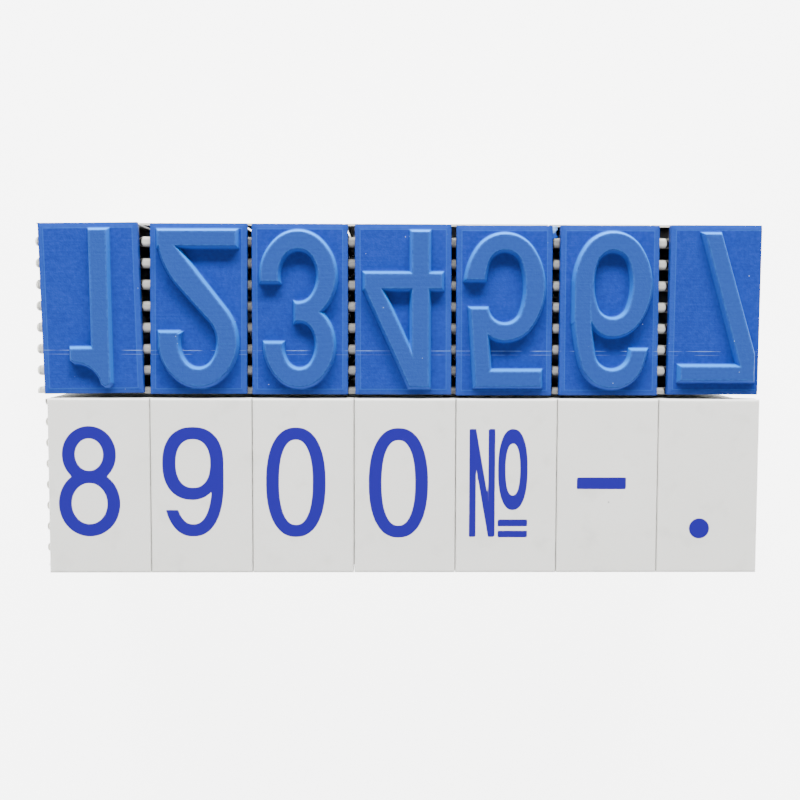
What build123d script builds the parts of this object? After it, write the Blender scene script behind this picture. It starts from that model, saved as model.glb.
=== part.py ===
from build123d import *
import os
from math import atan, degrees, hypot

# A set of fourteen number stamps standing on end in two rows of seven.
# Millimetres, +Z up. The origin is on the table, in the middle of the set.
# The far row stands on its label heads with its rubber dies up. The near row
# stands on its dies with its heads up. Along a row the stamps hook together.

os.makedirs("parts", exist_ok=True)

# The three sizes that set all others: a stamp's length from its rubber face to its
# head, its holder's depth, and the pitch of two stamps that are hooked up tight
stamp_length = 45.0
holder_depth = 30.2
closed_pitch = 18.0

# Thicknesses below the holder
relief_height = 1.5
base_thickness = 1.5
tape_thickness = 0.4
tape_inset = 0.3

# The holder, a moulded box that is open at the head
holder_gap = 2.7
rack_side_inset = 0.15
holder_wall = 1.8
plate_thickness = 2.4
holder_corner = 0.5

# The head and its plug
head_gap = 0.12
head_overhang = 0.425
head_thickness = 4.0
head_round = 0.35
head_hollow = 2.0
plug_length = 5.0
plug_wall = 1.4
plug_clearance = 0.1

# The rack on one side and its grooves on the other
rack_side_count = 4
rack_pitch_count = 7.95
rack_offset = -0.4
tooth_width = 1.8
hook_depth = 0.4
tooth_round = 0.8
tooth_foot_gap = 0.3
tooth_head_gap = 1.0
groove_clearance = 0.15
groove_depth = 0.5

# The rubber die and its raised character
die_overhang = 0.85
die_inset = 0.1
bevel_run = 0.85
bevel_drop = 0.15
flank_run = 0.65
relief_sink = 0.2
face_margin = 1.4
face_side_margin = 1.75
side_stroke = 3.2
end_stroke = 2.95
hook_stroke = 2.85
stem_stroke = 2.9
bar_stroke = 2.6
end_share = 0.84
grid_count_across = 17
grid_count_up = 30

# How the two rows stand
loose_play = 0.25
row_gap = 0.3
far_row_shift = -0.15

# How each far die was glued: its offsets, what it has over the usual width, its turn
# and its lean, and how far its character lies off the die's middle. A trimmed die has
# lost one bevel.
far_row = {
    "one": {"shift": (-0.5, 0.0), "spare": 0.4, "turn": -0.85, "lean": -0.35, "off": 0.1},
    "two": {"shift": (0.2, 0.05), "spare": 0.0, "turn": -0.15, "lean": 0.3, "off": 0.0},
    "three": {"shift": (-0.2, 0.1), "spare": -0.1, "turn": 0.0, "lean": 0.0, "off": 0.0},
    "four": {"shift": (-0.2, 0.1), "spare": 0.0, "turn": 0.0, "lean": -0.1, "off": 0.0},
    "five": {"shift": (-0.55, 0.25), "spare": -0.05, "turn": -0.1, "lean": 0.0, "off": 0.0},
    "six": {"shift": (-0.15, 0.2), "spare": 0.5, "turn": 0.0, "lean": 0.0, "off": 0.4},
    "seven": {"shift": (0.35, 0.05), "spare": -0.9, "turn": 0.0, "lean": 0.2, "off": -0.25},
}
trimmed = ("seven",)
near_row = {
    name: {"shift": (0.0, 0.0), "spare": 0.0, "turn": 0.0, "lean": 0.0, "off": 0.0}
    for name in ("eight", "nine", "zero_a", "zero_b", "numero", "dash", "point")
}

# Heights above the rubber face, along one stamp
base_foot = relief_height
tape_foot = base_foot + base_thickness
holder_foot = tape_foot + tape_thickness
head_foot = stamp_length - head_thickness
holder_length = head_foot - holder_foot
flank_angle = degrees(atan(flank_run / relief_height))

# Widths and places across one stamp
holder_width = closed_pitch - holder_gap
rack_wall_x = holder_width / 2 - rack_side_inset
groove_wall_x = holder_width / 2 + rack_side_inset
holder_middle_x = rack_side_inset
room_width = holder_width - 2 * holder_wall
room_depth = holder_depth - 2 * holder_wall
head_width = closed_pitch - head_gap
head_depth = holder_depth + 2 * head_overhang
plug_room_width = room_width - 2 * plug_clearance - 2 * plug_wall
plug_room_depth = room_depth - 2 * plug_clearance - 2 * plug_wall
rack_pitch = holder_depth / rack_pitch_count
rack_places = [
    rack_offset + i * rack_pitch for i in range(-rack_side_count, rack_side_count + 1)
]
tooth_reach = holder_gap + hook_depth
tooth_length = tooth_reach + holder_wall / 2
tooth_x = tooth_length / 2 - rack_wall_x - tooth_reach

# The die, and the grid of about one millimetre that its character is drawn on
die_width = holder_width + 2 * die_overhang
die_depth = holder_depth - 2 * die_inset
face_half_height = die_depth / 2 - face_margin
face_half_width = die_width / 2 - face_side_margin
across = die_width / grid_count_across
up = die_depth / grid_count_up

# Where the rows stand, with the origin in the middle of everything
far_pitch = closed_pitch + loose_play
middle_place = (len(far_row) - 1) / 2
far_centres = [far_row_shift + (i - middle_place) * far_pitch for i in range(len(far_row))]
near_centres = [(i - middle_place) * closed_pitch for i in range(len(near_row))]
left_end = min(far_centres[0], near_centres[0]) - rack_wall_x - tooth_reach
right_end = max(far_centres[-1], near_centres[-1]) + head_width / 2
set_middle = (left_end + right_end) / 2
row_centre_y = (head_depth + row_gap) / 2


# The raised characters, each drawn as it prints, upright about its own middle
def oval(left, right, bottom, top, share=end_share):
    """A closed oval of four tangent arcs, with ends as round as a share of its half width."""
    across, along = (right - left) / 2, (top - bottom) / 2
    x, y = (left + right) / 2, (bottom + top) / 2
    end_radius = share * across
    run = along - end_radius
    side_radius = (across**2 + run**2 - end_radius**2) / (2 * (across - end_radius))
    reach = end_radius / (side_radius - end_radius)
    meet_x = reach * (side_radius - across)
    meet_y = run + reach * run
    upper_right, lower_right = (x + meet_x, y + meet_y), (x + meet_x, y - meet_y)
    upper_left, lower_left = (x - meet_x, y + meet_y), (x - meet_x, y - meet_y)
    with BuildSketch() as disc:
        with BuildLine():
            ThreePointArc(lower_right, (right, y), upper_right)
            ThreePointArc(upper_right, (x, top), upper_left)
            ThreePointArc(upper_left, (left, y), lower_left)
            ThreePointArc(lower_left, (x, bottom), lower_right)
        make_face()
    return disc.sketch


def loop(left, right, bottom, top, side=side_stroke, end=end_stroke):
    """An oval ring, with one stroke at its sides and one at its ends."""
    outside = oval(left, right, bottom, top)
    inside = oval(left + side, right - side, bottom + end, top - end)
    with BuildSketch() as ring:
        add(outside)
        add(inside, mode=Mode.SUBTRACT)
    return ring.sketch


def block(left, right, bottom, top):
    """A rectangle given by its four sides."""
    with BuildSketch() as patch:
        with Locations(((left + right) / 2, (bottom + top) / 2)):
            Rectangle(right - left, top - bottom)
    return patch.sketch


def at(x, y):
    """A place on the drawing grid, in millimetres."""
    return x * across, y * up


def one():
    """A stem with a curved flag at its upper left."""
    left, right = 0.3 * across, 0.3 * across + stem_stroke
    foot, top = -face_half_height, face_half_height
    flag_end, flag_foot, flag_top = -3.5 * across, 7.1 * up, 9.35 * up
    flag_turn = flag_end + 0.5 * across
    cap_left, cap_middle = right - 1.5 * across, right - 0.75 * across
    with BuildSketch() as glyph:
        with BuildLine():
            Polyline(
                (flag_end, flag_top - 0.4 * up),
                (flag_end, flag_foot),
                (left, flag_foot),
                (left, foot),
                (right, foot),
                (right, top - 0.8 * up),
            )
            ThreePointArc((right, top - 0.8 * up), (cap_middle, top), (cap_left, top - 0.7 * up))
            TangentArc((flag_turn, flag_top), (cap_left, top - 0.7 * up), tangent=(1, 0))
            Line((flag_turn, flag_top), (flag_end, flag_top - 0.4 * up))
        make_face()
    return glyph.sketch


def bend(start, slant, upright_x, level):
    """Where a slanting edge hands over to an arc that stands upright at a level."""
    corner_y = start[1] + (upright_x - start[0]) * slant[1] / slant[0]
    reach = (level - corner_y) / hypot(*slant)
    return upright_x - reach * slant[0], corner_y - reach * slant[1]


def two():
    """A hooked bowl that runs down a slanting stroke into a flat foot."""
    half_width, half_height = face_half_width, face_half_height
    foot_top = bar_stroke - half_height
    bowl_foot, hook_foot = -1.6 * up, 4.2 * up
    bowl_y = (bowl_foot + half_height) / 2
    inner = half_width - side_stroke
    notch, outer_slant = (-3.9 * across, foot_top), at(9.2, 11.9)
    heel, inner_slant = at(-3.3, -4.1), at(5.3, 6.0)
    outer_bend = bend(notch, outer_slant, half_width, bowl_y)
    inner_bend = bend(heel, inner_slant, inner, bowl_y)
    bowl = loop(-half_width, half_width, bowl_foot, half_height)
    under = block(-half_width - 1, half_width + 1, bowl_foot - 1, bowl_y)
    hook = block(-half_width, side_stroke - half_width, hook_foot, bowl_y)
    with BuildSketch() as glyph:
        add(bowl)
        add(under, mode=Mode.SUBTRACT)
        add(hook)
        with BuildLine():
            Line((inner, bowl_y), (half_width, bowl_y))
            TangentArc((half_width, bowl_y), outer_bend, tangent=(0, -1))
            Polyline(
                outer_bend,
                notch,
                (half_width, foot_top),
                (half_width, -half_height),
                (-half_width, -half_height),
            )
            TangentArc(heel, (-half_width, -half_height), tangent=(-inner_slant[0], -inner_slant[1]))
            Line(heel, inner_bend)
            TangentArc((inner, bowl_y), inner_bend, tangent=(0, -1))
        make_face()
    return glyph.sketch


def three():
    """Two bowls that share a short middle arm."""
    arm_left, arm_foot, arm_top = -0.7 * across, -1.0 * up, 1.95 * up
    lower = loop(-face_half_width, 6.3 * across, -face_half_height, arm_top, hook_stroke)
    upper = loop(-6.1 * across, 6.0 * across, arm_foot, face_half_height, hook_stroke)
    gap = block(-face_half_width - 1, arm_left, -4.9 * up, 6.0 * up)
    with BuildSketch() as glyph:
        add(lower)
        add(upper)
        add(gap, mode=Mode.SUBTRACT)
    return glyph.sketch


def four():
    """A stem, a low crossbar and a slanting stroke that joins them."""
    stem_left, bar_foot = 1.55 * across, -6.3 * up
    bar_top = bar_foot + bar_stroke
    slant_left, slant_right = -face_half_width, 2.75 * across - face_half_width
    stem = block(stem_left, stem_left + stem_stroke, -face_half_height, face_half_height)
    bar = block(-face_half_width, face_half_width, bar_foot, bar_top)
    with BuildSketch() as glyph:
        add(stem)
        add(bar)
        with BuildLine():
            Polyline(
                (slant_left, bar_foot + 0.5 * up),
                (slant_left, bar_top),
                (stem_left - 0.4 * across, face_half_height),
                (stem_left + 0.5 * across, face_half_height),
                (stem_left + 0.5 * across, 9.0 * up),
                (slant_right, bar_top - 0.3 * up),
                (slant_right, bar_foot + 0.5 * up),
                close=True,
            )
        make_face()
    return glyph.sketch


def joined_bowl(left, right, bottom, top, joint_width, side=side_stroke, end=end_stroke):
    """An oval ring whose upper left shoulder is drawn in where it joins an upright."""
    middle_y = (bottom + top) / 2
    ring = loop(left, right, bottom, top, side, end)
    shoulder = oval(-joint_width, joint_width, bottom, top, 0.95)
    corner = block(left - 1, 0, middle_y, top + 1)
    with BuildSketch() as cut:
        add(corner)
        add(shoulder, mode=Mode.SUBTRACT)
    spare = cut.sketch
    with BuildSketch() as bowl:
        add(ring)
        add(spare, mode=Mode.SUBTRACT)
    return bowl.sketch


def five():
    """A flat top, a short upright that leans and a bowl that is open at its left."""
    bowl_foot, bowl_top, arm_top = -13.4 * up, 5.2 * up, -5.5 * up
    upright_foot, upright_top = -0.3 * up, 13.3 * up
    foot_left, top_left = -6.0 * across, -5.1 * across
    half_width = face_half_width + 0.15 * across
    bowl = joined_bowl(-half_width, half_width, bowl_foot, bowl_top, 5.0 * across, end=hook_stroke)
    gap = block(-half_width - 1, -2.2 * across, arm_top, upright_foot)
    bar = block(top_left, 6.35 * across, upright_top - bar_stroke, upright_top)
    with BuildSketch() as glyph:
        add(bowl)
        add(gap, mode=Mode.SUBTRACT)
        add(bar)
        with BuildLine():
            Polyline(
                (foot_left, upright_foot),
                (foot_left + 2.7 * across, upright_foot),
                (top_left + 2.6 * across, upright_top),
                (top_left, upright_top),
                close=True,
            )
        make_face()
    return glyph.sketch


def six():
    """A closed bowl under a tall hook."""
    half_width, half_height = face_half_width, face_half_height
    bowl_top, hook_foot = 4.5 * up, 7.0 * up
    bowl = joined_bowl(-half_width, half_width, -half_height, bowl_top, 4.2 * across)
    bowl_y = (bowl_top - half_height) / 2
    tall = loop(-half_width, half_width, -half_height, half_height, side=hook_stroke)
    below = block(-half_width - 1, half_width + 1, -half_height - 1, 0)
    gap = block(0, half_width + 1, -1, hook_foot)
    back = block(-half_width, hook_stroke - half_width, bowl_y, 0)
    with BuildSketch() as glyph:
        add(tall)
        add(below, mode=Mode.SUBTRACT)
        add(gap, mode=Mode.SUBTRACT)
        add(back)
        add(bowl)
    return glyph.sketch


def seven():
    """A flat top with a straight slanting stroke."""
    bar_left, bar_right = -5.9 * across, 7.1 * across
    bar_top, foot = 12.4 * up, 0.3 * up - face_half_height
    bar_foot = bar_top - 2.4 * up
    with BuildSketch() as glyph:
        with BuildLine():
            Polyline(
                (bar_left, bar_top),
                (bar_left, bar_foot),
                (4.65 * across, bar_foot),
                (-1.95 * across, foot),
                (0.85 * across, foot),
                (bar_right, 7.8 * up),
                (bar_right, bar_top),
                close=True,
            )
        make_face()
    return glyph.sketch


def eight():
    """Two closed bowls, the upper one a little narrower."""
    half_width, narrow_half = face_half_width, face_half_width - 0.6 * across
    lower = loop(-half_width, half_width, -face_half_height, 2.0 * up)
    upper = loop(-narrow_half, narrow_half, -1.0 * up, face_half_height)
    with BuildSketch() as glyph:
        add(lower)
        add(upper)
    return glyph.sketch


def nine():
    """A six turned half round."""
    turned = six().rotate(Axis.Z, 180)
    with BuildSketch() as glyph:
        add(turned)
    return glyph.sketch


def zero():
    """One tall closed ring."""
    return loop(-face_half_width, face_half_width, -face_half_height, face_half_height)


def numero():
    """A capital N beside a raised small o with two bars under it."""
    half_width, half_height = face_half_width, face_half_height
    n_right, o_left, o_foot = -0.6 * across, 0.5 * across, -6.8 * up
    n_stroke, o_stroke = 1.9 * across, 1.7 * across
    o_width, o_height = half_width - o_left, half_height - o_foot
    left_stem = block(-half_width, n_stroke - half_width, -half_height, half_height)
    right_stem = block(n_right - n_stroke, n_right, -half_height, half_height)
    bar_high = block(o_left, half_width, 3.2 * up - half_height, 5.0 * up - half_height)
    bar_low = block(o_left, half_width, -half_height, 1.8 * up - half_height)
    with BuildSketch() as glyph:
        add(left_stem)
        add(right_stem)
        add(bar_high)
        add(bar_low)
        with BuildLine():
            Polyline(
                (-half_width, half_height),
                (n_stroke - half_width, half_height),
                (n_right, -half_height),
                (n_right - n_stroke, -half_height),
                close=True,
            )
        make_face()
        with Locations(((o_left + half_width) / 2, (o_foot + half_height) / 2)):
            SlotOverall(o_height, o_width, rotation=90)
            SlotOverall(
                o_height - 2 * o_stroke, o_width - 2 * o_stroke, rotation=90, mode=Mode.SUBTRACT
            )
    return glyph.sketch


def dash():
    """A short bar at middle height."""
    return block(-face_half_width, face_half_width, -bar_stroke / 2, bar_stroke / 2)


def point():
    """A round dot low on the face."""
    with BuildSketch() as glyph:
        with Locations((0, 3.2 * up - face_half_height)):
            Circle(2.9 * across)
    return glyph.sketch


characters = {
    "one": one,
    "two": two,
    "three": three,
    "four": four,
    "five": five,
    "six": six,
    "seven": seven,
    "eight": eight,
    "nine": nine,
    "zero_a": zero,
    "zero_b": zero,
    "numero": numero,
    "dash": dash,
    "point": point,
}


def outline(width, lean):
    """The die's cut outline: two long edges that lean a little from top to foot."""
    with BuildSketch() as cut:
        with BuildLine():
            Polyline(
                (-width / 2 + lean / 2, -die_depth / 2),
                (width / 2 + lean / 2, -die_depth / 2),
                (width / 2 - lean / 2, die_depth / 2),
                (-width / 2 - lean / 2, die_depth / 2),
                close=True,
            )
        make_face()
    return cut.sketch


# The four pieces of a stamp. Each function takes the plane of the rubber face,
# whose normal runs along the stamp to its head and whose +Y is the top of the
# character as it prints.
def build_die(face, name, glued):
    """Blue rubber: a bevelled base plate and a character with sloping flanks."""
    turn = Location((*glued["shift"], 0), (0, 0, glued["turn"]))
    cut = outline(die_width + glued["spare"], glued["lean"])
    flat = characters[name]().translate((glued["off"], 0, 0))
    with BuildPart() as base:
        with BuildSketch(face.offset(base_foot)):
            with Locations(turn):
                add(cut)
        extrude(amount=base_thickness)
        nearest = base.faces().sort_by(Axis(face.origin, face.z_dir))[0]
        rims = nearest.edges()
        if name in trimmed:
            rims = rims.sort_by(Axis.X)[:-1]
        chamfer(rims, length=bevel_run, length2=bevel_drop, reference=nearest)
    strokes = []
    for patch in flat.faces():
        with BuildPart() as stroke:
            with BuildSketch(face):
                with Locations(turn):
                    add(patch)
            extrude(amount=base_foot + relief_sink)
            flanks = stroke.faces() - stroke.faces().filter_by(Axis.Z)
            draft(flanks, neutral_plane=-face, angle=flank_angle)
        strokes.append(stroke.part)
    with BuildPart() as relief:
        add(strokes)
        with BuildSketch(face):
            with Locations(turn):
                add(cut)
        extrude(amount=base_foot + relief_sink, mode=Mode.INTERSECT)
    with BuildPart() as die:
        add(base.part)
        add(relief.part)
    return die.part


def build_tape(face):
    """Thin foam tape between the rubber and the holder's plate."""
    with BuildPart() as tape:
        with BuildSketch(face.offset(tape_foot)):
            with Locations((holder_middle_x, 0)):
                Rectangle(holder_width - 2 * tape_inset, holder_depth - 2 * tape_inset)
        extrude(amount=tape_thickness)
    return tape.part


def build_rack(face):
    """The nine round-nosed teeth of a rack, cut to the holder's depth."""
    with BuildPart() as rack:
        with BuildSketch(face.offset(holder_foot + tooth_foot_gap)):
            with Locations([(tooth_x, y) for y in rack_places]):
                RectangleRounded(tooth_length, tooth_width, tooth_round)
        extrude(amount=holder_length - tooth_foot_gap - tooth_head_gap)
        with BuildSketch(face.offset(holder_foot)):
            Rectangle(2 * closed_pitch, holder_depth)
        extrude(amount=holder_length, mode=Mode.INTERSECT)
    return rack.part


def build_holder(face):
    """White ABS box with a closed plate, a rack on one side and grooves on the other."""
    with BuildPart() as holder:
        with BuildSketch(face.offset(holder_foot)):
            with Locations((holder_middle_x, 0)):
                Rectangle(holder_width, holder_depth)
        extrude(amount=holder_length)
        fillet(holder.edges().filter_by(Axis.Z), radius=holder_corner)
        with BuildSketch(face.offset(holder_foot + plate_thickness)):
            with Locations((holder_middle_x, 0)):
                Rectangle(room_width, room_depth)
        extrude(amount=holder_length, mode=Mode.SUBTRACT)
        with BuildSketch(face.offset(holder_foot)):
            with Locations([(groove_wall_x, y) for y in rack_places]):
                Rectangle(2 * groove_depth, tooth_width + 2 * groove_clearance)
        extrude(amount=holder_length - tooth_head_gap + groove_clearance, mode=Mode.SUBTRACT)
        add(build_rack(face))
    return holder.part


def build_head(face):
    """White ABS label head, hollow under its top, with a plug that fits the holder."""
    with BuildPart() as head:
        with BuildSketch(face.offset(head_foot)):
            Rectangle(head_width, head_depth)
        extrude(amount=head_thickness)
        foot_edges = head.edges().group_by(Axis(face.origin, face.z_dir))[0]
        fillet(head.edges() - foot_edges, radius=head_round)
        with BuildSketch(face.offset(head_foot - plug_length)):
            with Locations((holder_middle_x, 0)):
                Rectangle(room_width - 2 * plug_clearance, room_depth - 2 * plug_clearance)
        extrude(amount=plug_length)
        with BuildSketch(face.offset(head_foot - plug_length)):
            with Locations((holder_middle_x, 0)):
                Rectangle(plug_room_width, plug_room_depth)
        extrude(amount=plug_length + head_hollow, mode=Mode.SUBTRACT)
    return head.part


def save(shape, node):
    shape.label = node
    export_step(shape, f"parts/{node}.step")


def build_row(row, centres, y, z, towards_head):
    """Every stamp of one row, with its four pieces saved under the stamp's name."""
    for (name, glued), x in zip(row.items(), centres):
        face = Plane((x - set_middle, y, z), x_dir=(1, 0, 0), z_dir=(0, 0, towards_head))
        save(build_die(face, name, glued), f"die_{name}")
        save(build_tape(face), f"tape_{name}")
        save(build_holder(face), f"holder_{name}")
        save(build_head(face), f"head_{name}")


build_row(far_row, far_centres, row_centre_y, stamp_length, -1)
build_row(near_row, near_centres, -row_centre_y, 0, 1)
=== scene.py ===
import bmesh
import bpy
import numpy as np
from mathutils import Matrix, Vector


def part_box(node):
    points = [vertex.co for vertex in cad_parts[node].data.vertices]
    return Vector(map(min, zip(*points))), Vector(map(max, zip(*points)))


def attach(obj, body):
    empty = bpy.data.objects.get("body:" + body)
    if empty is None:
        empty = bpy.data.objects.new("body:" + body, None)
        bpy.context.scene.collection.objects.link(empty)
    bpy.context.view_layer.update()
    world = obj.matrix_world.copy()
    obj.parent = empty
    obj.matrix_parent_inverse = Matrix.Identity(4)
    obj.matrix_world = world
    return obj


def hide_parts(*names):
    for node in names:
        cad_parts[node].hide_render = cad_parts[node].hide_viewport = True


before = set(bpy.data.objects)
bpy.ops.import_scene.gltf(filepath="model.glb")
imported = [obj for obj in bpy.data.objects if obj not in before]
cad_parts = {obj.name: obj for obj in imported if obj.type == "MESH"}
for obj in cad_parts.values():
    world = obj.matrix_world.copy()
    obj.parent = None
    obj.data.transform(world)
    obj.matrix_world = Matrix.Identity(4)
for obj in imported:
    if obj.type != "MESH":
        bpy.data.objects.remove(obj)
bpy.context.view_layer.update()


# Holders. Each stamp is an injection-moulded ABS box with a closed plate under its
# rubber, a rack of teeth down one side and grooves for the next stamp's teeth down
# the other. The stamps hook together by them, and nothing else joins the set.
far_names = ("one", "two", "three", "four", "five", "six", "seven")
near_names = ("eight", "nine", "zero_a", "zero_b", "numero", "dash", "point")
names = far_names + near_names


def linear(hex_colour):
    """An sRGB hex colour as linear light, with an alpha of one."""
    parts = np.array([int(hex_colour[i : i + 2], 16) for i in (1, 3, 5)]) / 255
    light = np.where(parts <= 0.04045, parts / 12.92, ((parts + 0.055) / 1.055) ** 2.4)
    return (*light.tolist(), 1.0)


def put(tree, kind, settings=(), links=()):
    """Adds a node to a material, with its settings and the sockets that feed it."""
    made = tree.nodes.new("ShaderNode" + kind)
    for name, value in dict(settings).items():
        if isinstance(name, str) and hasattr(made, name):
            setattr(made, name, value)
        else:
            made.inputs[name].default_value = value
    for name, source in dict(links).items():
        tree.links.new(source, made.inputs[name])
    return made


def new_material(name, finish):
    """A material with its shader set to a finish, and the object coordinates for patterns."""
    material = bpy.data.materials.new(name)
    material.use_nodes = True
    tree = material.node_tree
    shader = tree.nodes["Principled BSDF"]
    for socket, value in finish.items():
        shader.inputs[socket].default_value = value
    place = put(tree, "TexCoord").outputs["Object"]
    return material, tree, shader, place


def moulded_abs():
    """Moulded ABS: a warm white, satin, with a fine spark-eroded grain that breaks up gloss,
    and painted shade in the slots between stamps.
    """
    finish = {"IOR": 1.54, "Roughness": 0.42}
    material, tree, shader, place = new_material("abs_moulded_satin", finish)
    clouds = put(tree, "TexNoise", {"Scale": 1 / 0.007, "Detail": 3.0}, {"Vector": place})
    shade = put(tree, "Mix", {"data_type": "RGBA", 6: linear("#c8c6ba"), 7: linear("#d4d3c9")})
    tree.links.new(clouds.outputs["Fac"], shade.inputs[0])
    # Painted shade: the colour darkens towards near black in the slots between stamps, where
    # little light reaches, most of all on their walls.
    slots = put(tree, "AmbientOcclusion", {"samples": 8, "Distance": 0.008}).outputs["AO"]
    facing = put(tree, "NewGeometry").outputs["True Normal"]
    sides = put(tree, "SeparateXYZ", (), {"Vector": facing})
    walls = put(tree, "Math", {"operation": "ABSOLUTE"}, {0: sides.outputs["X"]}).outputs[0]
    beside = put(tree, "MapRange", {"From Min": 0.05, "From Max": 0.35}, {"Value": walls})
    deep = put(tree, "MapRange", {"From Min": 0.75, "From Max": 1.0}, {"Value": slots})
    shallow = put(tree, "MapRange", {"From Min": 0.1, "From Max": 0.6}, {"Value": slots})
    unshaded = put(tree, "Mix", {"data_type": "FLOAT"}, {0: beside.outputs[0]})
    tree.links.new(shallow.outputs[0], unshaded.inputs[2])
    tree.links.new(deep.outputs[0], unshaded.inputs[3])
    slot_shade = put(tree, "Mix", {"data_type": "RGBA", 6: linear("#110f0d")})
    tree.links.new(unshaded.outputs[0], slot_shade.inputs[0])
    tree.links.new(shade.outputs[2], slot_shade.inputs[7])
    tree.links.new(slot_shade.outputs[2], shader.inputs["Base Color"])
    # The real grain is about 0.05 mm, and is drawn at 0.25 mm so that it shows.
    grain = put(tree, "TexNoise", {"Scale": 1 / 0.00025, "Detail": 2.0}, {"Vector": place})
    bump = put(tree, "Bump", {"Strength": 0.25, "Distance": 0.00002})
    tree.links.new(grain.outputs["Fac"], bump.inputs["Height"])
    tree.links.new(bump.outputs["Normal"], shader.inputs["Normal"])
    return material


holder_abs = moulded_abs()
for name in names:
    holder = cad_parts[f"holder_{name}"]
    holder.data.materials.clear()
    holder.data.materials.append(holder_abs)


# Tooth ends. The mould rounds each tooth over where it faces the rubber, so the rack shows
# as a row of white nubs in the gap between two dies. They are part of the holder. Sizes
# are in millimetres, here and in the sections on the pieces below.
stamp_length = 45.0
holder_half_depth = 15.1
rack_wall_x, tooth_reach = 7.5, 2.95
rack_pitch, rack_offset = 3.8, -0.4
tooth_half_width, tooth_round = 0.9, 0.8
tooth_foot = 3.7
end_fillet = 0.6
sunk, sunk_inset, end_clearance = 0.2, 0.02, 0.01


def stand(name, x, y, z):
    """Places points given along one stamp, from its rubber face at zero up to its head and
    with +y at the top of the character as it prints. A far stamp is turned half round. The
    head's box gives the stamp's middle, in metres, so half its ends' sum is times 1000."""
    low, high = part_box(f"head_{name}")
    middle = (low + high) * 500
    if name in far_names:
        y, z = -y, stamp_length - z
    return np.stack([middle.x + x, middle.y + y, z], -1)


def new_piece(name, points, faces, body, slot, material, **values):
    """A mesh with its faces outwards, on a body. Its slot is not used. Its points are given in
    millimetres, and each value is kept as an attribute."""
    mesh = bpy.data.meshes.new(name)
    mesh.from_pydata((points.reshape(-1, 3) / 1000).tolist(), [], faces)
    for key, value in values.items():
        kept = mesh.attributes.new(key, "FLOAT", "POINT")
        kept.data.foreach_set("value", np.asarray(value, np.float32))
    shell = bmesh.new()
    shell.from_mesh(mesh)
    if shell.calc_volume(signed=True) < 0:
        mesh.flip_normals()
    shell.free()
    mesh.materials.append(material)
    piece = bpy.data.objects.new(name, mesh)
    bpy.context.scene.collection.objects.link(piece)
    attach(piece, body)
    return piece


def build_tooth_ends(name):
    """Rings of one rounded rectangle per tooth, C + (round - inset) N, with C the corners'
    centres and N the way out of them. The inset s rises to z = sqrt(r^2 - (r - s)^2), a
    quarter circle, with a ring sunk into the tooth before it and a flat cap on either end."""
    turn = np.radians(np.linspace(0, 90, 6) + np.array([[0], [90], [180], [270]])).ravel()
    away_x, away_y = np.cos(turn), np.sin(turn)
    corner_x = np.repeat([1, -1, -1, 1], 6) * (tooth_reach / 2 - tooth_round)
    corner_y = np.repeat([1, 1, -1, -1], 6) * (tooth_half_width - tooth_round)
    arc = np.radians([0, 0, 15, 30, 45, 60, 75, 88])
    inset, rise = end_fillet * (1 - np.cos(arc)), end_fillet * np.sin(arc)
    inset[0], rise[0] = sunk_inset, -sunk
    places = rack_offset + rack_pitch * np.arange(-3, 5)
    x = corner_x + (tooth_round - inset)[:, None] * away_x - rack_wall_x - tooth_reach / 2
    y = corner_y + (tooth_round - inset)[:, None] * away_y + places[:, None, None]
    y = np.minimum(y, holder_half_depth - end_clearance)
    z = np.broadcast_to(tooth_foot - rise[:, None], y.shape)
    points = stand(name, np.broadcast_to(x, y.shape), y, z)
    index = np.arange(y.size).reshape(y.shape)
    ahead = np.roll(index, -1, axis=2)
    sides = np.stack([index[:, :-1], index[:, 1:], ahead[:, 1:], ahead[:, :-1]], -1)
    caps = [*index[:, -1].tolist(), *index[:, 0, ::-1].tolist()]
    faces = [*sides.reshape(-1, 4).tolist(), *caps]
    return new_piece(f"teeth_{name}", points, faces, f"stamp_{name}", "holder", holder_abs)


for name in names:
    teeth = build_tooth_ends(name)
    teeth.data.shade_smooth()
    teeth.data.set_sharp_from_angle(angle=np.radians(40))


# Foam tape. A thin double-sided foam holds each rubber to its holder's plate. It is
# die-cut a little smaller than the plate, and shows as a dull grey-white line.
def foam_tape():
    """Closed-cell acrylic foam: dull, with cells that open where the die cut it."""
    finish = {"IOR": 1.48, "Roughness": 0.85}
    material, tree, shader, place = new_material("foam_tape_cut", finish)
    cells = put(tree, "TexVoronoi", {"Scale": 1 / 0.00018}, {"Vector": place})
    shade = put(tree, "Mix", {"data_type": "RGBA", 6: linear("#b9b9b2"), 7: linear("#dededa")})
    tree.links.new(cells.outputs["Distance"], shade.inputs[0])
    tree.links.new(shade.outputs[2], shader.inputs["Base Color"])
    bump = put(tree, "Bump", {"Strength": 0.5, "Distance": 0.00004})
    tree.links.new(cells.outputs["Distance"], bump.inputs["Height"])
    tree.links.new(bump.outputs["Normal"], shader.inputs["Normal"])
    return material


tape_foam = foam_tape()
for name in names:
    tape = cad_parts[f"tape_{name}"]
    tape.data.materials.clear()
    tape.data.materials.append(tape_foam)


# Rubber dies. Blue rubber is pressed in an engraved mould, so each character stands on
# sloping flanks above a flat floor. The sheet is then cut up with bevelled edges, and
# each die is glued to its holder by hand, a little off place and out of square.
relief_height = 1.5
base_thickness = 1.5
die_width, die_depth = 17.0, 30.0
bevel_run, bevel_drop = 0.85, 0.15
flank_run = 0.52
rim_softness, foot_softness, bevel_softness = 0.1, 0.25, 0.06
fine_step, coarse_step = 0.12, 0.2
half_width, half_height = 6.75, 13.6
side_stroke, end_stroke = 3.2, 2.95
end_share = 0.84
stem_stroke, bar_stroke = 2.9, 2.6

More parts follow.
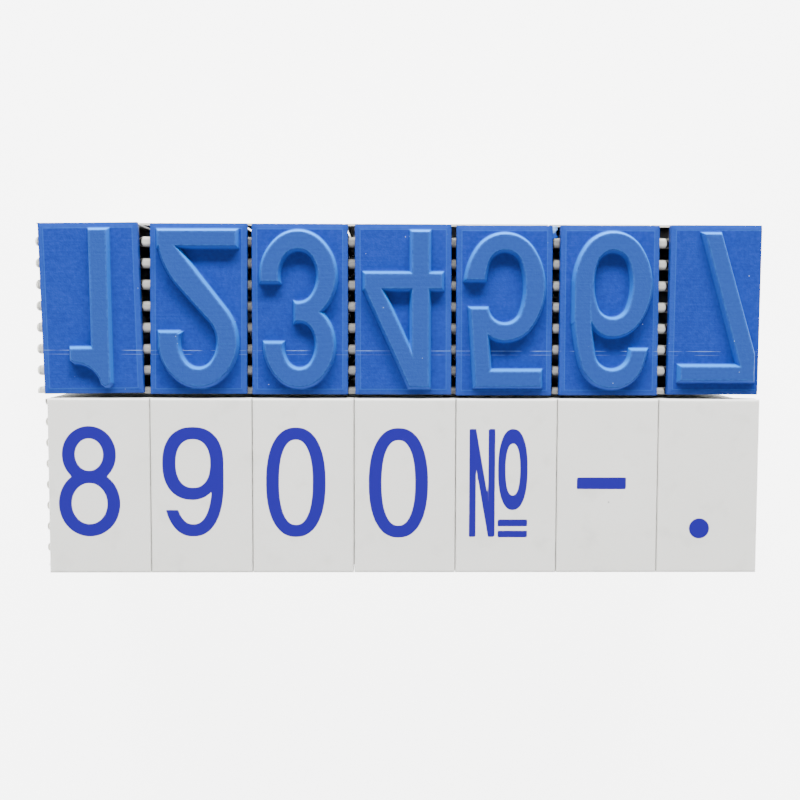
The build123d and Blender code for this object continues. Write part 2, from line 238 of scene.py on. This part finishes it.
# How each far die was glued: its offsets, what it has over the usual width, its turn in
# degrees and lean, and how far its character lies off the die's middle.
glued = {
    "one": ((-0.5, 0.0), 0.4, -0.85, -0.35, 0.1),
    "two": ((0.2, 0.05), 0.0, -0.15, 0.3, 0.0),
    "three": ((-0.2, 0.1), -0.1, 0.0, 0.0, 0.0),
    "four": ((-0.2, 0.1), 0.0, 0.0, -0.1, 0.0),
    "five": ((-0.55, 0.25), -0.05, -0.1, 0.0, 0.0),
    "six": ((-0.15, 0.2), 0.5, 0.0, 0.0, 0.4),
    "seven": ((0.35, 0.05), -0.9, 0.0, 0.2, -0.25),
}
square = ((0.0, 0.0), 0.0, 0.0, 0.0, 0.0)
trimmed = ("seven",)


def oval(x, y, left, right, bottom, top, share=end_share):
    """Distance outside an oval of four tangent arcs, and negative inside it: the distance
    from the centre of the arc that faces the point, less that arc's radius. A share above
    one is the power n of a superellipse instead, r = (|x/a|^n + |y/b|^n)^(1/n), whose
    distance is close to (r - 1) over the slope of r."""
    across, along = (right - left) / 2, (top - bottom) / 2
    px, py = abs(x - (left + right) / 2), abs(y - (bottom + top) / 2)
    if share > 1:
        px, py = px + 1e-6, py + 1e-6
        r = ((px / across) ** share + (py / along) ** share) ** (1 / share)
        slope = np.hypot(px ** (share - 1) / across**share, py ** (share - 1) / along**share)
        return (r - 1) / (slope * r ** (1 - share))
    end_radius = share * across
    run = along - end_radius
    side_radius = (across**2 + run**2 - end_radius**2) / (2 * (across - end_radius))
    side_x = across - side_radius
    by_end = -side_x * py - run * (px - side_x) > 0
    to_end = np.hypot(px, py - run) - end_radius
    to_side = np.hypot(px - side_x, py) - side_radius
    return np.where(by_end, to_end, to_side)


def loop(x, y, left, right, bottom, top, side=side_stroke, end=end_stroke, share=end_share):
    """An oval ring: inside its outer oval and outside its inner one."""
    outside = oval(x, y, left, right, bottom, top, share)
    inside = oval(x, y, left + side, right - side, bottom + end, top - end, share)
    return np.maximum(outside, -inside)


def block(x, y, left, right, bottom, top):
    """A rectangle: the farthest out of its four sides, so its corners mitre."""
    across = abs(x - (left + right) / 2) - (right - left) / 2
    along = abs(y - (bottom + top) / 2) - (top - bottom) / 2
    return np.maximum(across, along)


def beyond(x, y, start, end):
    """Distance to the right of the straight line that runs from start to end."""
    run = np.subtract(end, start)
    across = (x - start[0]) * run[1] - (y - start[1]) * run[0]
    return across / np.hypot(*run)


def union(*shapes):
    """What is inside any of the shapes."""
    return np.minimum.reduce(shapes)


def common(*shapes):
    """What is inside all of the shapes."""
    return np.maximum.reduce(shapes)


def one(x, y):
    """A stem with a flag that curves up to its top, which is rounded over."""
    left, flag_left, flag_foot, straight_top = 0.3, -3.5, 7.1, 10.0
    right = left + stem_stroke
    cap_radius = half_height - 12.85
    stem = block(x, y, left, right, -half_height, straight_top)
    curve = 4.886 - np.hypot(x + 3.0, y - 14.236)
    corner = beyond(x, y, (-3.0, 9.35), (flag_left, 8.95))
    flag = common(block(x, y, flag_left, right, flag_foot, half_height), curve, corner)
    cap = np.hypot(x - right + cap_radius, y - half_height + cap_radius) - cap_radius
    return union(stem, common(flag, union(y - half_height + cap_radius, cap)))


def bent(x, y, centre, radius, normal):
    """Distance outside an edge that is upright above the centre's level and turns on a
    circle below it until it faces along the normal, and then runs straight."""
    px, py = x - centre[0], y - centre[1]
    on_circle = normal[0] * py - normal[1] * px > 0
    lower = np.where(on_circle, np.hypot(px, py), px * normal[0] + py * normal[1])
    return np.where(py >= 0, px, lower) - radius


def two(x, y):
    """A hooked bowl that runs down a slanting stroke into a flat foot."""
    foot_top = bar_stroke - half_height
    bowl_y = 6.0
    inner = half_width - side_stroke
    bowl = common(loop(x, y, -half_width, half_width, -1.6, half_height), bowl_y - 1.6 - y)
    bowl = common(bowl, union(bowl_y - y, x))
    hook = block(x, y, -half_width, side_stroke - half_width, 4.2, bowl_y + 0.9)
    foot = block(x, y, -half_width, half_width, -half_height, foot_top)
    right = bent(x, y, (-2.69, bowl_y), half_width + 2.69, (0.791, -0.612))
    left = bent(x, y, (-2.65, bowl_y), inner + 2.65, (0.7495, -0.662))
    heel = -3.3, -4.1
    below_heel = (x - heel[0]) * 0.662 + (y - heel[1]) * 0.7495 < 0
    heel_arc = np.hypot(x - 7.04, y + 13.23) - 13.79
    left = np.where(below_heel, heel_arc, -left)
    slant = common(right, left, y - bowl_y - 0.3, -half_height - y)
    return union(bowl, hook, foot, slant)


def three(x, y):
    """Two bowls that share a short middle arm."""
    lower = loop(x, y, -half_width, 6.3, -half_height, 1.95, side=2.95)
    upper = loop(x, y, -6.1, 6.0, -1.0, half_height, side=2.95)
    gap = block(x, y, -half_width - 3, -0.7, -4.9, 6.0)
    return common(union(lower, upper), -gap)


def four(x, y):
    """A stem, a low crossbar and a slanting stroke that joins them."""
    stem_left, bar_foot, slant_right = 1.55, -6.3, 2.05
    stem = block(x, y, stem_left, stem_left + stem_stroke, -half_height, half_height)
    bar = block(x, y, -half_width, half_width, bar_foot, bar_foot + bar_stroke)
    outer = beyond(x, y, (1.15, half_height), (-half_width, -3.7))
    inner = beyond(x, y, (-4.0, -4.0), (slant_right, 9.0))
    slant = common(outer, inner, block(x, y, -half_width, slant_right, bar_foot, half_height))
    return union(stem, bar, slant)


def joined_bowl(x, y, wide, bottom, top, joint, side, end, share=end_share):
    """An oval ring whose upper left shoulder is drawn in where it joins an upright."""
    corner = block(x, y, -wide - 3, 0, (bottom + top) / 2, top + 3)
    shoulder = oval(x, y, -joint, joint, bottom, top, 0.95)
    ring = loop(x, y, -wide, wide, bottom, top, side, end, share)
    return common(ring, -common(corner, -shoulder))


def five(x, y):
    """A flat top, a short upright that leans and a bowl that is open at its left."""
    wide, top, heel, bar_left = half_width + 0.15, 13.3, -0.3, -5.1
    bowl = joined_bowl(x, y, wide, -13.4, 5.2, 5.0, side_stroke, 2.7)
    gap = block(x, y, -half_width - 3, -2.2, -5.5, heel)
    bar = block(x, y, bar_left, 6.35, top - bar_stroke, top)
    left = beyond(x, y, (bar_left, top), (-6.0, heel))
    right = beyond(x, y, (-3.3, heel), (-2.5, top))
    upright = common(left, right, y - top, heel - y)
    return union(common(bowl, -gap), bar, upright)


def six(x, y, side=side_stroke, end=end_stroke, hook_side=2.85, joint=4.2, share=end_share):
    """A closed bowl under a tall hook."""
    bowl = joined_bowl(x, y, half_width, -half_height, 4.5, joint, side, end, share)
    tall = loop(
        x, y, -half_width, half_width, -half_height, half_height, hook_side, end, share
    )
    gap = block(x, y, 0, half_width + 3, -6, 7.0)
    back = block(x, y, -half_width, hook_side - half_width, -4.95, 2.0)
    return union(common(tall, -4.0 - y, -gap), back, bowl)


def seven(x, y):
    """A flat top with a straight slanting stroke."""
    foot, bar_foot, top, right_end = -13.3, 10.0, 12.4, 7.1
    bar = block(x, y, -5.9, right_end, bar_foot, top)
    left = beyond(x, y, (4.65, bar_foot), (-1.95, foot))
    right = beyond(x, y, (0.85, foot), (right_end, 7.8))
    slant = common(left, right, foot - y, y - top, x - right_end)
    return union(bar, slant)


def eight(
    x, y, side=side_stroke, end=end_stroke, waist=(-1.0, 2.0), narrow=0.6, share=end_share
):
    """Two closed bowls, the upper one a little narrower."""
    wide, slim = half_width, half_width - narrow
    lower = loop(x, y, -wide, wide, -half_height, waist[1], side, end, share)
    upper = loop(x, y, -slim, slim, waist[0], half_height, side, end, share)
    return union(lower, upper)


def nine(x, y, side=side_stroke, end=end_stroke, hook_side=2.85, joint=4.2, share=end_share):
    """A six turned half round."""
    return six(-x, -y, side, end, hook_side, joint, share)


def zero(x, y, side=side_stroke, end=end_stroke, share=end_share):
    """One tall closed ring."""
    return loop(x, y, -half_width, half_width, -half_height, half_height, side, end, share)


def numero(
    x,
    y,
    n_stroke=1.9,
    n_right=-0.6,
    o_left=0.5,
    o_stroke=(1.7, 1.7),
    bars=(-10.4, -8.6, -13.6, -11.8),
    share=0.97,
):
    """A capital N beside a raised small o with two bars under it."""
    o_foot, o_top = -6.8, half_height
    n_foot = n_stroke - half_width
    left_stem = block(x, y, -half_width, n_foot, -half_height, half_height)
    right_stem = block(x, y, n_right - n_stroke, n_right, -half_height, half_height)
    outer = beyond(x, y, (-half_width, half_height), (n_right - n_stroke, -half_height))
    inner = beyond(x, y, (n_right, -half_height), (n_foot, half_height))
    slant = common(outer, inner, y - half_height, -half_height - y)
    bar_high = block(x, y, o_left, half_width, *bars[:2])
    bar_low = block(x, y, o_left, half_width, *bars[2:])
    small_o = loop(x, y, o_left, half_width, o_foot, o_top, *o_stroke, share)
    return union(left_stem, right_stem, slant, bar_high, bar_low, small_o)


def dash(x, y):
    """A short bar at middle height."""
    return block(x, y, -half_width, half_width, -bar_stroke / 2, bar_stroke / 2)


def point(x, y):
    """A round dot low on the face."""
    return np.hypot(x, y + half_height - 3.2) - 2.9


characters = {
    "one": one,
    "two": two,
    "three": three,
    "four": four,
    "five": five,
    "six": six,
    "seven": seven,
    "eight": eight,
    "nine": nine,
    "zero_a": zero,
    "zero_b": zero,
    "numero": numero,
    "dash": dash,
    "point": point,
}


def eased(value, softness):
    """A value cut off below zero, with its corner eased over a softness on either side."""
    blend = (value + softness) ** 2 / (4 * softness)
    return np.where(abs(value) < softness, blend, np.maximum(value, 0))


def border(grid):
    """The outermost places of a grid, in order round it."""
    return np.concatenate([grid[0, :-1], grid[:-1, -1], grid[-1, :0:-1], grid[:0:-1, 0]])


def closed_piece(name, top, rings, body, slot, material, **values):
    """A closed mesh from a top grid in millimetres, rings that carry its border on, and a
    flat floor of strips across the last ring. Each value is kept as an attribute."""
    rows, columns = top.shape[:2]
    index = np.arange(rows * columns).reshape(rows, columns)
    quads = [np.stack([index[:-1, :-1], index[:-1, 1:], index[1:, 1:], index[1:, :-1]], -1)]
    ring = border(index)
    count = len(ring)
    start = rows * columns
    for _ in rings:
        below = start + np.arange(count)
        quads.append(np.stack([np.roll(ring, -1), ring, below, np.roll(below, -1)], -1)[None])
        ring, start = below, start + count
    faces = np.concatenate([part.reshape(-1, 4) for part in quads]).tolist()
    # Strips join the last ring's two sides, and a polygon closes it along either end.
    left = np.roll(ring[::-1], 1)[:rows]
    right = ring[columns - 1 : columns + rows - 1]
    faces += np.stack([right[1:-2], right[2:-1], left[2:-1], left[1:-2]], -1).tolist()
    faces.append([*ring[:columns].tolist(), int(right[1]), int(left[1])])
    far_row = ring[columns + rows - 2 : 2 * columns + rows - 2].tolist()
    faces.append([*far_row, int(left[-2]), int(right[-2])])
    points = np.concatenate([top.reshape(-1, 3), *rings])
    return new_piece(name, points, faces, body, slot, material, **values)


def moulded_rubber():
    """Moulded rubber: saturated blue and satin, a little bloomed where the mould's flat
    left the printing face dull, with the mould's cutter lines across its floor, and painted
    highlights on its rims and on the flanks that face the window."""
    finish = {"IOR": 1.52, "Roughness": 0.5, "Specular IOR Level": 0.1}
    material, tree, shader, place = new_material("rubber_moulded_blue", finish)
    rise = put(tree, "Attribute", {"attribute_name": "rise"}).outputs["Fac"]
    outline = put(tree, "Attribute", {"attribute_name": "outline"}).outputs["Fac"]
    room = put(tree, "Attribute", {"attribute_name": "room"}).outputs["Fac"]

    def tinted(share, below, colour):
        """The colour so far, with a share of one more colour over it."""
        mixed = put(tree, "Mix", {"data_type": "RGBA", 7: linear(colour)})
        tree.links.new(share, mixed.inputs[0])
        tree.links.new(below, mixed.inputs[6])
        return mixed.outputs[2]

    def ramp(value, start, end, low, high):
        """A value's range stretched to another one, and held beyond its ends."""
        settings = {"From Min": start, "From Max": end, "To Min": low, "To Max": high}
        return put(tree, "MapRange", settings, {"Value": value}).outputs[0]

    def product(first, second):
        """Two shares multiplied."""
        return put(tree, "Math", {"operation": "MULTIPLY"}, {0: first, 1: second}).outputs[0]

    # Talc and wear leave soft clouds, and a finer mottle, over the whole sheet.
    clouds = put(tree, "TexNoise", {"Scale": 1 / 0.007, "Detail": 5.0}, {"Vector": place})
    mottle = put(tree, "TexNoise", {"Scale": 1 / 0.0006, "Detail": 3.0}, {"Vector": place})
    clouds, mottle = clouds.outputs["Fac"], mottle.outputs["Fac"]
    sheet = put(tree, "Mix", {"data_type": "RGBA", 6: linear("#192c78"), 7: linear("#1d3485")})
    tree.links.new(ramp(mottle, 0.3, 0.7, 0.0, 1.0), sheet.inputs[0])
    colour = tinted(ramp(clouds, 0.42, 0.75, 0.0, 0.22), sheet.outputs[2], "#203b88")
    colour = tinted(ramp(room, 0.95, 0.7, 0.0, 0.35), colour, "#224794")
    ledge_line = product(ramp(room, 0.78, 0.86, 0.0, 1.0), ramp(room, 0.94, 1.02, 1.0, 0.0))
    colour = tinted(product(ledge_line, ramp(rise, 0.02, 0.2, 0.24, 0.0)), colour, "#2f6cba")
    # The printing face is duller than the floor, with a painted highlight along its rim.
    worn_face = tinted(ramp(mottle, 0.35, 0.7, 0.0, 0.8), colour, "#264b90")
    face = put(tree, "Mix", {"data_type": "RGBA"}, {0: rise, 6: colour, 7: worn_face})
    dull = put(tree, "Math", {"operation": "MULTIPLY", 1: 0.85}, {0: rise}).outputs[0]
    face = tinted(dull, face.outputs[2], "#213d7d")
    rim_highlight = product(ramp(outline, -0.3, -0.02, 0.0, 0.45), ramp(rise, 0.9, 0.97, 0.0, 1.0))
    colour = tinted(product(rim_highlight, ramp(mottle, 0.3, 0.6, 0.0, 1.0)), face, "#2460ab")
    # The mould polished the flanks, which are a lighter blue. Those that face the window
    # lamp get a painted highlight of bright sky blue, which fades out on those that face away.
    slope = product(ramp(rise, 0.85, 0.98, 1.0, 0.0), ramp(rise, 0.03, 0.3, 0.0, 0.85))
    facing = put(tree, "NewGeometry").outputs["True Normal"]
    toward_window = put(tree, "SeparateXYZ", (), {"Vector": facing}).outputs["Y"]
    colour = tinted(slope, colour, "#264ba4")
    colour = tinted(product(slope, ramp(toward_window, -0.3, 0.6, 0.0, 1.0)), colour, "#0072d0")
    # Two scratches, 0.6 mm apart, run the same way over the far row's floors and fade in
    # and out, as the sheet was scored before it was cut up.
    level = put(tree, "SeparateXYZ", (), {"Vector": place}).outputs["Y"]
    fading = put(tree, "TexNoise", {"Scale": 1 / 0.004, "Detail": 2.0}, {"Vector": place})
    fading = fading.outputs["Fac"]
    for height, strength in ((0.0083, 0.5), (0.0076, 0.22)):
        off = put(tree, "Math", {"operation": "SUBTRACT", 1: height}, {0: level}).outputs[0]
        far = put(tree, "Math", {"operation": "ABSOLUTE"}, {0: off}).outputs[0]
        scratch = ramp(far, 0.00003, 0.00008, strength, 0.0)
        scratch = product(scratch, ramp(fading, 0.42, 0.6, 0.0, 1.0))
        colour = tinted(product(scratch, ramp(rise, 0.0, 0.1, 1.0, 0.0)), colour, "#7fa3d6")
    # Specks of talc that were never brushed off.
    dust = put(tree, "TexVoronoi", {"Scale": 1 / 0.0016, "Randomness": 1.0}, {"Vector": place})
    speck = ramp(dust.outputs["Distance"], 0.035, 0.06, 0.75, 0.0)
    rare = put(tree, "TexNoise", {"Scale": 1 / 0.004}, {"Vector": place}).outputs["Fac"]
    colour = tinted(product(speck, ramp(rare, 0.6, 0.64, 0.0, 1.0)), colour, "#9fb6d8")
    tree.links.new(colour, shader.inputs["Base Color"])
    # Cutter lines about 0.45 mm apart, broken up by a noise that is long across the die.
    flat = put(tree, "Mapping", {"Scale": (60, 1 / 0.0005, 1)}, {"Vector": place})
    lines = put(tree, "TexNoise", {"Scale": 1.0, "Detail": 2.0}, {"Vector": flat.outputs[0]})
    grain = put(tree, "TexNoise", {"Scale": 1 / 0.00035, "Detail": 4.0}, {"Vector": place})
    lines, grain = lines.outputs["Fac"], grain.outputs["Fac"]
    both = put(tree, "Math", {"operation": "ADD"}, {0: lines, 1: grain})
    bump = put(tree, "Bump", {"Strength": 0.55, "Distance": 0.00007})
    tree.links.new(both.outputs[0], bump.inputs["Height"])
    tree.links.new(bump.outputs["Normal"], shader.inputs["Normal"])
    return material


rubber_blue = moulded_rubber()


def build_die(name):
    """A die as a height over its cut outline: the lower of a bevelled base plate and a
    character whose height falls off evenly with the distance outside its outline."""
    (shift_x, shift_y), spare, turn, lean, off = glued.get(name, square)
    width = die_width + spare
    step = fine_step if name in far_names else coarse_step
    columns, rows = round(width / step) + 1, round(die_depth / step) + 1
    u, y = np.meshgrid(
        np.linspace(-width / 2, width / 2, columns),
        np.linspace(-die_depth / 2, die_depth / 2, rows),
    )
    x = u - lean * y / die_depth
    side_room = width / 2 + (u if name in trimmed else -abs(u))
    room = np.minimum(side_room, die_depth / 2 - abs(y))
    drop = eased(bevel_run - room, bevel_softness) * bevel_drop / bevel_run
    base = relief_height + drop
    outline = characters[name](x - off, y)
    flank = eased(outline * relief_height / flank_run, rim_softness)
    z = base - eased(base - flank, foot_softness)
    turned = np.radians(turn)
    place_x = x * np.cos(turned) - y * np.sin(turned) + shift_x
    place_y = x * np.sin(turned) + y * np.cos(turned) + shift_y
    top = stand(name, place_x, place_y, z)
    edge_x, edge_y, edge_z = border(place_x), border(place_y), border(z)
    back = relief_height + base_thickness
    rings = [
        stand(name, edge_x, edge_y, edge_z + (back - edge_z) * share)
        for share in (0.15, 0.5, 0.85, 1.0)
    ]
    rise = 1 - np.clip(z / relief_height, 0, 1)
    spread = len(rings) * len(edge_x)
    piece = closed_piece(
        f"rubber_{name}",
        top,
        rings,
        f"stamp_{name}",
        "rubber",
        rubber_blue,
        rise=np.concatenate([rise.ravel(), np.zeros(spread)]),
        outline=np.concatenate([outline.ravel(), np.full(spread, 9.0)]),
        room=np.concatenate([room.ravel(), np.full(spread, -9.0)]),
    )
    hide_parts(f"die_{name}")
    return piece


for name in names:
    die = build_die(name)
    die.data.shade_smooth()


# Flash. Where the knife tore instead of cutting, a thin flake of the same rubber still
# hangs off the fifth die's corner, curled up and whitened where the rubber is stretched.
flake_edge_x, flake_start_y, flake_foot = 7.85, -14.7, 1.75
flake_width, flake_length, flake_curl, flake_thickness = 0.96, 2.2, 0.55, 0.2
flake_steps_out, flake_steps_along = 8, 16


def torn_rubber():
    """Torn rubber: the die's blue, dull, and whitened where it was stretched."""
    finish = {"IOR": 1.52, "Roughness": 0.7}
    material, tree, shader, place = new_material("rubber_torn_pale", finish)
    tears = put(tree, "TexNoise", {"Scale": 1 / 0.0006, "Detail": 3.0}, {"Vector": place})
    shade = put(tree, "Mix", {"data_type": "RGBA", 6: linear("#14388a"), 7: linear("#78a6de")})
    stretch = put(tree, "Attribute", {"attribute_name": "stretch"}).outputs["Fac"]
    pulled = put(tree, "Math", {"operation": "MULTIPLY_ADD", 1: 0.9}, {0: stretch})
    tree.links.new(tears.outputs["Fac"], pulled.inputs[2])
    pale = put(tree, "MapRange", {"From Min": 0.75, "From Max": 1.3})
    tree.links.new(pulled.outputs[0], pale.inputs["Value"])
    tree.links.new(pale.outputs[0], shade.inputs[0])
    tree.links.new(shade.outputs[2], shader.inputs["Base Color"])
    return material


def build_flake():
    """A strip along the die's edge from v = 0 to 1, whose reach is a mean plus two sines of
    v, and which curls up by the square of the way out, less towards its near end."""
    u, v = np.meshgrid(
        np.linspace(0, 1, flake_steps_out), np.linspace(0, 1, flake_steps_along)
    )
    reach = u * (0.75 + 0.16 * np.sin(9.0 * v) + 0.08 * np.sin(23.0 * v + 1.0))
    x = flake_edge_x + flake_width * reach
    y = flake_start_y + flake_length * v + 0.08 * np.sin(7.0 * u)
    z = flake_foot - flake_curl * reach**2 * (1 - 0.5 * v)
    return closed_piece(
        "flash_five",
        stand("five", x, y, z),
        [stand("five", border(x), border(y), border(z) + flake_thickness)],
        "stamp_five",
        "rubber",
        torn_rubber(),
        stretch=1 - np.concatenate([v.ravel(), border(v)]),
    )


flake = build_flake()
flake.data.shade_smooth()


# Label heads. A moulded ABS cap a full pitch wide closes each holder, and a plug under
# it is pressed into the box. The character is screen-printed on its top in blue ink.
head_half_width, head_half_depth = 8.94, 15.525
head_thickness = 4.0
head_round = 0.35
foot_bevel = 0.1
print_step = 0.3
plug_middle, plug_half_width, plug_half_depth = 0.2, 6.25, 13.2
plug_length, plug_wall, hollow_depth = 5.0, 1.4, 2.0

# Where each head's character is printed: its middle, and its size against the rubber's.
printed = {
    "eight": (-1.74, 0.86, 0.801, 0.722),
    "nine": (-1.47, 0.78, 0.801, 0.717),
    "zero_a": (-1.31, 0.70, 0.781, 0.718),
    "zero_b": (-1.15, 0.59, 0.779, 0.72),
    "numero": (-1.39, 0.58, 0.77, 0.711),
}
usual_print = (-1.33, 0.72, 0.78, 0.718)
# The power of the superellipses that most of the printed ovals are.
print_share = 2.3


def printed_abs():
    """Moulded ABS, a little glossier than the holders, with a matt screen print."""
    finish = {"IOR": 1.54, "Roughness": 0.34}
    material, tree, shader, place = new_material("abs_moulded_printed", finish)
    clouds = put(tree, "TexNoise", {"Scale": 1 / 0.012, "Detail": 4.0}, {"Vector": place})
    white = put(tree, "Mix", {"data_type": "RGBA", 6: linear("#d1d1cc"), 7: linear("#dddcd8")})
    tree.links.new(clouds.outputs["Fac"], white.inputs[0])
    # Handling leaves faint grey smudges, and a few specks of ink that never came off.
    hands = put(tree, "TexNoise", {"Scale": 1 / 0.0045, "Detail": 6.0}, {"Vector": place})
    smudge = put(tree, "MapRange", {"From Min": 0.56, "From Max": 0.75, "To Max": 0.35})
    tree.links.new(hands.outputs["Fac"], smudge.inputs["Value"])
    smudged = put(tree, "Mix", {"data_type": "RGBA", 7: linear("#b9b9b4")})
    tree.links.new(smudge.outputs[0], smudged.inputs[0])
    tree.links.new(white.outputs[2], smudged.inputs[6])
    dots = put(tree, "TexVoronoi", {"Scale": 1 / 0.009}, {"Vector": place})
    dot = put(
        tree, "MapRange", {"From Min": 0.016, "From Max": 0.03, "To Min": 0.8, "To Max": 0.0}
    )
    tree.links.new(dots.outputs["Distance"], dot.inputs["Value"])
    specked = put(tree, "Mix", {"data_type": "RGBA", 7: linear("#4a4a52")})
    tree.links.new(dot.outputs[0], specked.inputs[0])
    tree.links.new(smudged.outputs[2], specked.inputs[6])
    # The print covers whatever lies inside its outline, with an edge 0.12 mm soft.
    outline = put(tree, "Attribute", {"attribute_name": "ink"}).outputs["Fac"]
    cover = put(
        tree, "MapRange", {"From Min": -0.06, "From Max": 0.06, "To Min": 1.0, "To Max": 0.0}
    )
    tree.links.new(outline, cover.inputs["Value"])
    shade = put(tree, "Mix", {"data_type": "RGBA", 7: linear("#190975")})
    tree.links.new(cover.outputs[0], shade.inputs[0])
    tree.links.new(specked.outputs[2], shade.inputs[6])
    tree.links.new(shade.outputs[2], shader.inputs["Base Color"])
    grain = put(tree, "TexNoise", {"Scale": 1 / 0.0004, "Detail": 2.0}, {"Vector": place})
    bump = put(tree, "Bump", {"Strength": 0.15, "Distance": 0.00002})
    tree.links.new(grain.outputs["Fac"], bump.inputs["Height"])
    tree.links.new(bump.outputs["Normal"], shader.inputs["Normal"])
    return material


label_abs = printed_abs()


def label_ink(name, x, y):
    """Distance outside the printed character, which is smaller and lighter than the
    rubber one and off the head's middle."""
    middle_x, middle_y, share_x, share_y = printed.get(name, usual_print)
    x, y = (x - middle_x) / share_x, (y - middle_y) / share_y
    if name == "eight":
        waist = (-0.45, 2.63)
        return eight(x, y, side=2.85, end=3.06, waist=waist, narrow=0.82, share=2.02)
    if name == "nine":
        return nine(x, y, side=2.95, end=3.05, hook_side=2.65, joint=5.2, share=2.3)
    if name in ("zero_a", "zero_b"):
        return zero(x, y, side=2.93, end=3.02, share=print_share)
    if name == "numero":
        return numero(
            x,
            y,
            n_stroke=1.56,
            n_right=-0.78,
            o_left=-0.1,
            o_stroke=(1.75, 3.7),
            bars=(-10.9, -9.15, -13.7, -12.0),
            share=print_share,
        )
    if name == "dash":
        return block(x, y, -5.25, 6.0, -1.7, 1.25)
    if name == "point":
        return np.hypot((x + 0.15) * share_x, (y + 11.52) * share_y) - 1.82
    return characters[name](x, y) + 0.4


def build_head(name):
    """A head from its printed top down: the top grid, its eased edge, its sides, its foot,
    then down the plug and up inside it to the hollow under the top."""
    inset_x, inset_y = head_half_width - head_round, head_half_depth - head_round
    bore_half_width, bore_half_depth = plug_half_width - plug_wall, plug_half_depth - plug_wall
    columns, rows = round(2 * inset_x / print_step) + 1, round(2 * inset_y / print_step) + 1
    x, y = np.meshgrid(
        np.linspace(-inset_x, inset_x, columns), np.linspace(-inset_y, inset_y, rows)
    )
    top = stand(name, x, y, np.full_like(x, stamp_length))
    edge_x, edge_y = border(x) / inset_x, border(y) / inset_y
    foot = stamp_length - head_thickness
    steps = [
        (
            head_half_width - head_round * (1 - np.sin(angle)),
            head_half_depth - head_round * (1 - np.sin(angle)),
            stamp_length - head_round * (1 - np.cos(angle)),
            0.0,
        )
        for angle in np.radians((18, 36, 54, 72, 90))
    ]
    steps += [
        (head_half_width, head_half_depth, foot + foot_bevel, 0.0),
        (head_half_width - foot_bevel, head_half_depth - foot_bevel, foot, 0.0),
        (plug_half_width, plug_half_depth, foot, plug_middle),
        (plug_half_width, plug_half_depth, foot - plug_length, plug_middle),
        (bore_half_width, bore_half_depth, foot - plug_length, plug_middle),
        (bore_half_width, bore_half_depth, foot + hollow_depth, plug_middle),
    ]
    rings = [
        stand(name, edge_x * wide + middle, edge_y * deep, np.full_like(edge_x, z))
        for wide, deep, z, middle in steps
    ]
    spread = len(rings) * len(edge_x)
    piece = closed_piece(
        f"label_{name}",
        top,
        rings,
        f"stamp_{name}",
        "head",
        label_abs,
        ink=np.concatenate([label_ink(name, x, y).ravel(), np.full(spread, 9.0)]),
    )
    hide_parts(f"head_{name}")
    return piece


for name in names:
    head = build_head(name)
    head.data.shade_smooth()
    head.data.set_sharp_from_angle(angle=np.radians(40))


# The light table that the set stands on: white opal acrylic, lit a little from below, so
# that the ground stays clean and pale. Far off it sweeps up, so that no horizon shows.
table_drop, flat_radius, rim_radius, rim_height = 0.0002, 2.0, 6.0, 0.62

def build_table():
    """Rings about the origin, flat out to one radius and then rising to the rim as the
    square of the share of the way there."""
    turn, away = np.meshgrid(
        np.linspace(0, 2 * np.pi, 96, endpoint=False),
        np.concatenate([[0.5], np.linspace(flat_radius, rim_radius, 9)]),
    )
    climb = np.clip((away - flat_radius) / (rim_radius - flat_radius), 0, 1)
    height = rim_height * climb**2 - table_drop
    points = np.stack([away * np.cos(turn), away * np.sin(turn), height], -1).reshape(-1, 3)
    index = np.arange(turn.size).reshape(turn.shape)
    ahead = np.roll(index, -1, axis=1)
    rounds = np.stack([index[:-1], index[1:], ahead[1:], ahead[:-1]], -1).reshape(-1, 4)
    surface = bpy.data.meshes.new("light_table")
    surface.from_pydata(points.tolist(), [], [index[0].tolist(), *rounds.tolist()])
    surface.shade_smooth()
    made = bpy.data.objects.new("light_table", surface)
    bpy.context.scene.collection.objects.link(made)
    return made


table = build_table()
opal, _, shader, _ = new_material("acrylic_opal_lit", {"Roughness": 0.6, "IOR": 1.49})
shader.inputs["Base Color"].default_value = linear("#bcbcbc")
shader.inputs["Emission Color"].default_value = linear("#ffffff")
shader.inputs["Emission Strength"].default_value = 5.5
table.data.materials.append(opal)

# Lights: one large soft window behind the set, a weaker one in front, and a pale room.
# Neither light shows as a reflection, so that no glare hides the print from any side.
for label, place, aim, size, power in (
    ("window", (0.0, 0.82, 0.41), (0, 0, 0.04), (1.0, 0.18), 50.0),
    ("fill", (0.0, -0.8, 0.55), (0, 0, 0.04), (0.9, 0.4), 8.5),
):
    lamp = bpy.data.lights.new(label, "AREA")
    lamp.shape = "RECTANGLE"
    lamp.size, lamp.size_y = size
    lamp.energy = power
    stand_in = bpy.data.objects.new(label, lamp)
    bpy.context.scene.collection.objects.link(stand_in)
    stand_in.visible_glossy = False
    stand_in.location = place
    run = Vector(aim) - Vector(place)
    stand_in.rotation_euler = run.to_track_quat("-Z", "Y").to_euler()
room = bpy.data.worlds.new("pale_room")
room.use_nodes = True
room.node_tree.nodes["Background"].inputs["Color"].default_value = linear("#ffffff")
room.node_tree.nodes["Background"].inputs["Strength"].default_value = 0.45
bpy.context.scene.world = room

# The camera looks straight down on the set from a quarter of a metre.
eye = bpy.data.cameras.new("camera_above")
eye.lens, eye.sensor_width = 54.0, 36.0
eye.clip_start = 0.01
camera = bpy.data.objects.new("camera_above", eye)
bpy.context.scene.collection.objects.link(camera)
camera.location = (-0.00343, 0.01478, 0.25621)
camera.rotation_euler = (-0.0714, -0.0164, 0.0027)
bpy.context.scene.camera = camera
